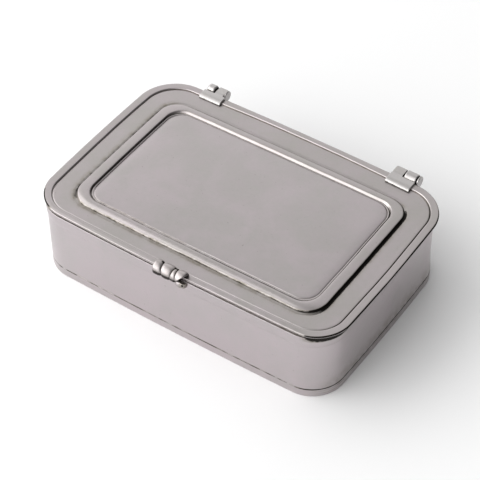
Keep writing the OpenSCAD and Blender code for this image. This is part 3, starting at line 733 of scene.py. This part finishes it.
def clasp_field(P):
    x, y, z = P[..., 0], P[..., 1], P[..., 2]
    rad = np.hypot(y - CLAW_Y, z - CLAW_Z)
    turn = np.degrees(np.arctan2(z - CLAW_Z, CLAW_Y - y))           # 0 in front, 90 on top, 180 behind
    turn = np.where(turn < -90, turn + 360, turn)
    t = np.clip((165 - turn) / 180, 0, 1)                           # 0 behind, 1 at the lip
    cuts = (-5.85 + 0 * t, -3.30 + 1.10 * t, 1.45 - 0.62 * t, 2.05 + 0.75 * t, 6.1 + 0 * t)
    crest = np.zeros_like(x)
    for a, b, rc, g, p in zip(cuts[:-1], cuts[1:], (2.40, 2.38, 2.16, 2.36), (0.62, 0.60, 0.36, 0.55), (2.6, 2.9, 2.2, 2.6)):
        c, h = (a + b) / 2, (b - a) / 2
        u = np.clip(np.abs((x - c) / h), 0, 1.0)
        if rc == 2.36:                                                   # the last lobe runs down to a point
            g = np.where(x > c, g + 1.0 * sstep(0.0, 0.85, (x - c) / h), g)
        one = rc - g + g * np.sqrt(np.clip(1 - u ** p, 0.0, 1))
        crest = np.maximum(crest, np.where(np.abs(x - c) <= h + 0.05, one, 0))
    crest = np.where(crest <= 0, 1.8, crest)
    d = (rad - crest) * 0.8
    d = smax(d, np.abs(x) - CLAW_X, 0.5)
    d = smax(d, rounded_plan(P), 0.3)
    d = smax(d, 0.78 * x - 0.338 * y - 0.528 * z - 1.257, 0.12)     # the right-hand corner of the lip is cut away
    hollow = sd_rod(P, -CLAW_X + 0.85, CLAW_X + 1.5, CLAW_Y - 0.1, CLAW_Z - 0.1, 1.66, 0.3)
    hollow = np.maximum(hollow, np.maximum(x - 4.2, 0) * 0.8 + (z - 27.55) + 0.35 * (y - CLAW_Y - 0.6))   # it opens below and in front, and the back stays solid
    d = smax(d, -hollow, 0.12)
    d = smax(d, CLAW_LIP - z, 0.16)
    front = -(y + 36.3 - 0.8 * (2 * x / 110) ** 2)                  # the lid's edge, which the roll sits on
    lid = np.maximum(z - RIM_TOP, front - 0.02)
    return np.maximum(d, -lid)


def clasp_shade(V):
    """Painted shade: black under the lip, in the roll, and in knots where the grooves meet its top and its lip."""
    x, y, z = V[:, 0], V[:, 1], V[:, 2]
    s = 1.3 * sstep(CLAW_LIP + 0.42, CLAW_LIP + 0.10, z) * sstep(-37.6, -38.0, y)
    s = np.maximum(s, 0.45 * sstep(1.84, 1.74, np.hypot(y - CLAW_Y + 0.1, z - CLAW_Z + 0.1)) * (z < RIM_TOP + 1.2) * (np.abs(x + 0.1) < 5.2))
    for c in ((-3.20, -35.3, 29.3), (1.55, -35.3, 29.2), (-2.35, -38.4, 26.5), (0.9, -38.4, 26.5), (2.7, -38.3, 26.6)):
        r = np.sqrt((x - c[0]) ** 2 + (y - c[1]) ** 2 + (z - c[2]) ** 2)
        s = np.maximum(s, 1.2 * sstep(0.85, 0.45, r))
    return s


def bead_field(P):
    x, y, z = P[..., 0], P[..., 1], P[..., 2]
    a, b = np.array([3.35, -36.25, 24.70]), np.array([4.75, -36.35, 25.30])
    ab = b - a
    t = np.clip(((P - a) @ ab) / (ab @ ab), 0, 1)
    d = np.linalg.norm(P - a - t[..., None] * ab, axis=-1) - (1.52 - 0.08 * t)
    for k in range(3):                                               # shallow ribs filed across its right-hand end
        d = d + 0.035 * np.exp(-((x - 4.05 - 0.55 * k) / 0.13) ** 2)
    d = smax(d, x - 5.75, 0.5)
    back = 36.3 - 0.7 * (2 * x / 107.3) ** 2 - 0.02
    return np.maximum(np.maximum(d, y + back), z - 26.15)


def bead_shade(V):
    x, y, z = V[:, 0], V[:, 1], V[:, 2]
    # painted shade: the right-hand end darker, a black spot low at that end, and darker under the lid's edge and where
    # it meets the wall
    s = 0.50 * sstep(3.3, 4.2, x)
    s = np.maximum(s, 1.25 * sstep(0.50, 0.30, np.sqrt((x - 5.0) ** 2 + (y + 37.55) ** 2 + (z - 25.6) ** 2)))
    s = np.maximum(s, 0.7 * sstep(25.85, 26.15, z))
    return np.maximum(s, 0.95 * sstep(0.28, 0.05, np.abs(y + 36.3)))


ob = nets("clasp", clasp_field, (-6.0, -39.2, 25.7), (6.0, -33.5, 30.0), 0.075, near=lid_ground, h_ao=0.7, shade_paint=clasp_shade)
add(ob, "thumb_clasp", "lid", "pewter_clasp")
ob = nets("bead", bead_field, (1.0, -38.2, 22.6), (6.3, -35.6, 26.5), 0.07, shade_paint=bead_shade)
add(ob, "catch_bead", "box", "pewter_clasp")


# ------------------------------------------------------------------ materials
class Nodes:
    def __init__(self, tree):
        self.t = tree
        tree.nodes.clear()

    def new(self, kind, **kw):
        n = self.t.nodes.new(kind)
        for k, v in kw.items():
            setattr(n, k, v)
        return n

    def link(self, a, b):
        self.t.links.new(a, b)

    def put(self, sock, v):
        if hasattr(v, "is_linked") or isinstance(v, bpy.types.NodeSocket):
            self.link(v, sock)
        else:
            sock.default_value = v

    def math(self, op, a, b=0.0, c=0.0, clamp=False):
        n = self.new("ShaderNodeMath", operation=op, use_clamp=clamp)
        for s, v in zip(n.inputs, (a, b, c)):
            self.put(s, v)
        return n.outputs[0]

    def ramp(self, fac, lo, hi, a=0.0, b=1.0, smooth=True):
        n = self.new("ShaderNodeMapRange", interpolation_type="SMOOTHSTEP" if smooth else "LINEAR")
        self.put(n.inputs["Value"], fac)
        n.inputs["From Min"].default_value, n.inputs["From Max"].default_value = lo, hi
        n.inputs["To Min"].default_value, n.inputs["To Max"].default_value = a, b
        return n.outputs["Result"]

    def mix(self, fac, a, b):
        n = self.new("ShaderNodeMix", data_type="RGBA")
        self.put(n.inputs[0], fac)
        self.put(n.inputs[6], a)
        self.put(n.inputs[7], b)
        return n.outputs[2]

    def noise(self, vec, scale, detail=2.0, rough=0.5, dist=0.0):
        n = self.new("ShaderNodeTexNoise")
        self.link(vec, n.inputs["Vector"])
        n.inputs["Scale"].default_value, n.inputs["Detail"].default_value = scale, detail
        n.inputs["Roughness"].default_value, n.inputs["Distortion"].default_value = rough, dist
        return n.outputs["Fac"]

    def mapping(self, vec, scale=(1, 1, 1), rot=(0, 0, 0), loc=(0, 0, 0)):
        n = self.new("ShaderNodeMapping")
        self.link(vec, n.inputs["Vector"])
        n.inputs["Scale"].default_value, n.inputs["Rotation"].default_value, n.inputs["Location"].default_value = scale, rot, loc
        return n.outputs[0]


def pewter(name, light, deep, rough, bump=0.6, patina_and_shade_gain=1.0, edge_gain=1.0, seed=0.0, metal_low=0.30, grain=(0, 0, 0)):
    """Satin pewter. light and deep are the metal's two tones, patina and painted shade gather where the mesh says
    cavity, and edges are rubbed bright, which also paints highlights.
    """
    mat = bpy.data.materials.new(name)
    mat.use_nodes = True
    n = Nodes(mat.node_tree)
    out, bsdf = n.new("ShaderNodeOutputMaterial"), n.new("ShaderNodeBsdfPrincipled")
    n.link(bsdf.outputs[0], out.inputs[0])
    obj = n.new("ShaderNodeTexCoord").outputs["Object"]
    v = n.mapping(obj, (1000, 1000, 1000), (0, 0, 0), (seed * 37.0, seed * 11.0, seed * 5.0))   # millimetres
    patina_and_shade = n.new("ShaderNodeAttribute", attribute_type="GEOMETRY", attribute_name="patina_and_shade").outputs["Fac"]
    edge = n.new("ShaderNodeAttribute", attribute_type="GEOMETRY", attribute_name="edge").outputs["Fac"]
    broad = n.noise(v, 0.055, 3.0, 0.55, 0.6)
    mid = n.noise(v, 0.34, 4.0, 0.6, 0.3)
    fine = n.noise(v, 2.3, 5.0, 0.65)
    small = n.noise(v, 0.9, 3.0, 0.55)
    tone = n.math("ADD", n.math("MULTIPLY", n.ramp(broad, 0.34, 0.66), 0.50), n.math("ADD", n.math("MULTIPLY", n.ramp(mid, 0.34, 0.66), 0.30), n.math("MULTIPLY", n.ramp(small, 0.3, 0.7), 0.15)))
    base = n.mix(tone, (*deep, 1), (*light, 1))
    # patina and painted shade: a thin olive film that is patchy round the crevices, and near-black deep in them; the
    # same values paint the shade under the lid and down the dark side
    patch = n.math("ADD", n.ramp(mid, 0.36, 0.62), n.math("MULTIPLY", n.ramp(broad, 0.42, 0.60), 0.6))
    speck = n.ramp(fine, 0.35, 0.7)
    c2 = n.math("MULTIPLY", patina_and_shade, patina_and_shade_gain)
    film_and_shade = n.math("MULTIPLY", n.ramp(c2, 0.02, 0.55), n.math("ADD", n.math("MULTIPLY", patch, 0.5), n.math("MULTIPLY", speck, 0.25)), clamp=True)
    base = n.mix(n.math("MULTIPLY", film_and_shade, 0.75), base, (0.20, 0.182, 0.128, 1))
    black_patina_and_shade = n.ramp(n.math("ADD", c2, n.math("MULTIPLY", n.math("SUBTRACT", mid, 0.5), 0.9)), 0.68, 1.05)
    base = n.mix(black_patina_and_shade, base, (0.016, 0.014, 0.012, 1))
    dirt_and_shade = n.math("MAXIMUM", n.math("MULTIPLY", film_and_shade, 0.5), black_patina_and_shade)
    # rubbed edges lightened: wear, and painted highlight where the meshes raise their edge values
    rub_and_glint = n.math("MULTIPLY", n.math("MULTIPLY", edge, edge_gain), n.ramp(fine, 0.2, 0.6), clamp=True)
    base = n.mix(n.math("MULTIPLY", rub_and_glint, 0.6), base, (min(1, light[0] * 1.14), min(1, light[1] * 1.14), min(1, light[2] * 1.14), 1))
    base = n.mix(n.math("MULTIPLY", n.ramp(n.noise(v, 1.5, 2.0, 0.5), 0.70, 0.80), 0.45), base, (0.11, 0.10, 0.075, 1))
    n.link(base, bsdf.inputs["Base Color"])
    bsdf.inputs["Specular IOR Level"].default_value = 0.18
    r = n.math("ADD", n.ramp(mid, 0.3, 0.7, rough - 0.03, rough + 0.04), n.math("MULTIPLY", dirt_and_shade, 0.25))
    r = n.math("SUBTRACT", r, n.math("MULTIPLY", rub_and_glint, 0.08))
    n.link(r, bsdf.inputs["Roughness"])
    n.link(n.math("SUBTRACT", 1.0, n.math("MULTIPLY", dirt_and_shade, metal_low)), bsdf.inputs["Metallic"])
    # surface: fine directional rubbing, pits, slow waves
    g = n.mapping(obj, (1000, 1000, 1000), grain)
    s1 = n.noise(n.mapping(g, (0.35, 5.0, 1.0)), 1.0, 4.0, 0.7)
    s2 = n.noise(n.mapping(g, (2.2, 0.5, 1.4), (0, 0, 0.7)), 1.6, 3.0, 0.6)
    pits = n.ramp(n.noise(v, 1.5, 2.0, 0.5), 0.66, 0.78)
    h = n.math("ADD", n.math("MULTIPLY", s1, 0.010), n.math("MULTIPLY", s2, 0.010))
    h = n.math("ADD", h, n.math("MULTIPLY", fine, 0.016))
    h = n.math("SUBTRACT", h, n.math("MULTIPLY", pits, 0.012))
    h = n.math("ADD", h, n.math("MULTIPLY", mid, 0.060))
    b = n.new("ShaderNodeBump")
    b.inputs["Strength"].default_value = bump
    b.inputs["Distance"].default_value = 0.001
    n.link(h, b.inputs["Height"])
    n.link(b.outputs[0], bsdf.inputs["Normal"])
    return mat


LIGHT, DEEP = (0.408, 0.368, 0.378), (0.358, 0.340, 0.326)
MATS = {
    # the walls' pewter is a lighter copy of the lid's: painted light that brightens them
    "pewter_wall": pewter("pewter_wall", (0.512, 0.457, 0.476), (0.466, 0.438, 0.438), 0.33, seed=1.0),
    "pewter_lid": pewter("pewter_lid", LIGHT, DEEP, 0.34, seed=2.0),
    "pewter_moulding": pewter("pewter_moulding", LIGHT, DEEP, 0.33, seed=3.0),
    "pewter_panel": pewter("pewter_panel", (0.424, 0.380, 0.393), (0.372, 0.352, 0.345), 0.35, seed=4.0),
    "pewter_inside": pewter("pewter_inside", (0.44, 0.415, 0.405), (0.385, 0.365, 0.345), 0.45, seed=5.0),
    "pewter_hinge": pewter("pewter_hinge", (0.486, 0.464, 0.463), (0.428, 0.414, 0.404), 0.36, seed=6.0),
    "pewter_pin": pewter("pewter_pin", (0.455, 0.430, 0.430), (0.40, 0.385, 0.375), 0.34, seed=7.0),
    "pewter_clasp": pewter("pewter_clasp", (0.440, 0.400, 0.408), (0.375, 0.352, 0.345), 0.35, seed=8.0, patina_and_shade_gain=1.2),
}
for ob, node in pieces:
    ob.data.materials.clear()
    ob.data.materials.append(MATS[ob["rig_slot"]])

# ------------------------------------------------------------------ studio
scene.view_settings.view_transform = "Standard"
scene.view_settings.look = "None"
scene.view_settings.exposure = 0.0
scene.view_settings.gamma = 1.0

world = bpy.data.worlds.new("studio")
scene.world = world
world.use_nodes = True
w = Nodes(world.node_tree)
w_out, bg = w.new("ShaderNodeOutputWorld"), w.new("ShaderNodeBackground")
w.link(bg.outputs[0], w_out.inputs[0])
direction = w.new("ShaderNodeTexCoord").outputs["Generated"]
# soft patches of light: direction, brightness, tightness
PATCHES = (
    ((-0.70, 0.70, 0.14), 0.99, 6.0),
    ((-0.70, -0.70, 0.14), 3.14, 6.0),
    ((0.00, -0.99, 0.14), 1.52, 6.0),
    ((-0.44, 0.69, 0.57), 0.71, 6.0),
    ((-0.82, 0.08, 0.57), 0.30, 6.0),
    ((0.065, 0.465, 0.883), 0.35, 6.0),
    ((1.00, -0.10, 0.20), 0.24, 4.0),
)
total = 0.004
for d, strength, tight in PATCHES:
    dv = Vector(d).normalized()
    dot = w.new("ShaderNodeVectorMath", operation="DOT_PRODUCT")
    w.link(direction, dot.inputs[0])
    dot.inputs[1].default_value = dv
    lobe = w.math("EXPONENT", w.math("MULTIPLY", w.math("SUBTRACT", dot.outputs["Value"], 1.0), tight))
    total = w.math("ADD", total, w.math("MULTIPLY", lobe, strength))
w.link(total, bg.inputs["Strength"])
bg.inputs["Color"].default_value = (1.0, 1.0, 1.0, 1.0)


def plane(name, cx, cy, z, sx, sy):
    me = bpy.data.meshes.new(name)
    me.from_pydata([(cx - sx, cy - sy, z), (cx + sx, cy - sy, z), (cx + sx, cy + sy, z), (cx - sx, cy + sy, z)], [], [(0, 1, 2, 3)])
    ob = bpy.data.objects.new(name, me)
    scene.collection.objects.link(ob)
    return ob


# plain pale floor
floor = plane("floor", 0, 0, -0.00005, 3.0, 3.0)
mat = bpy.data.materials.new("floor_paper")
mat.use_nodes = True
f = Nodes(mat.node_tree)
fo, fd = f.new("ShaderNodeOutputMaterial"), f.new("ShaderNodeBsdfDiffuse")
fd.inputs["Color"].default_value = (0.93, 0.93, 0.93, 1)
f.link(fd.outputs[0], fo.inputs[0])
floor.data.materials.append(mat)


def softbox(name, direction, dist, size, power, color=(1, 1, 1)):
    d = Vector(direction).normalized()
    ld = bpy.data.lights.new(name, "AREA")
    ld.shape = "DISK"
    ld.size = size
    ld.energy = power
    ld.color = color
    lo = bpy.data.objects.new(name, ld)
    scene.collection.objects.link(lo)
    lo.location = d * dist
    lo.rotation_mode = "QUATERNION"
    lo.rotation_quaternion = d.to_track_quat("Z", "Y")
    return lo


softbox("front", (-0.15, -0.62, 0.77), 1.2, 1.2, 2.7)
softbox("side", (-0.80, -0.20, 0.55), 1.2, 1.4, 6.6)
softbox("over", (-0.42, -0.45, 0.79), 1.2, 2.2, 4.0)
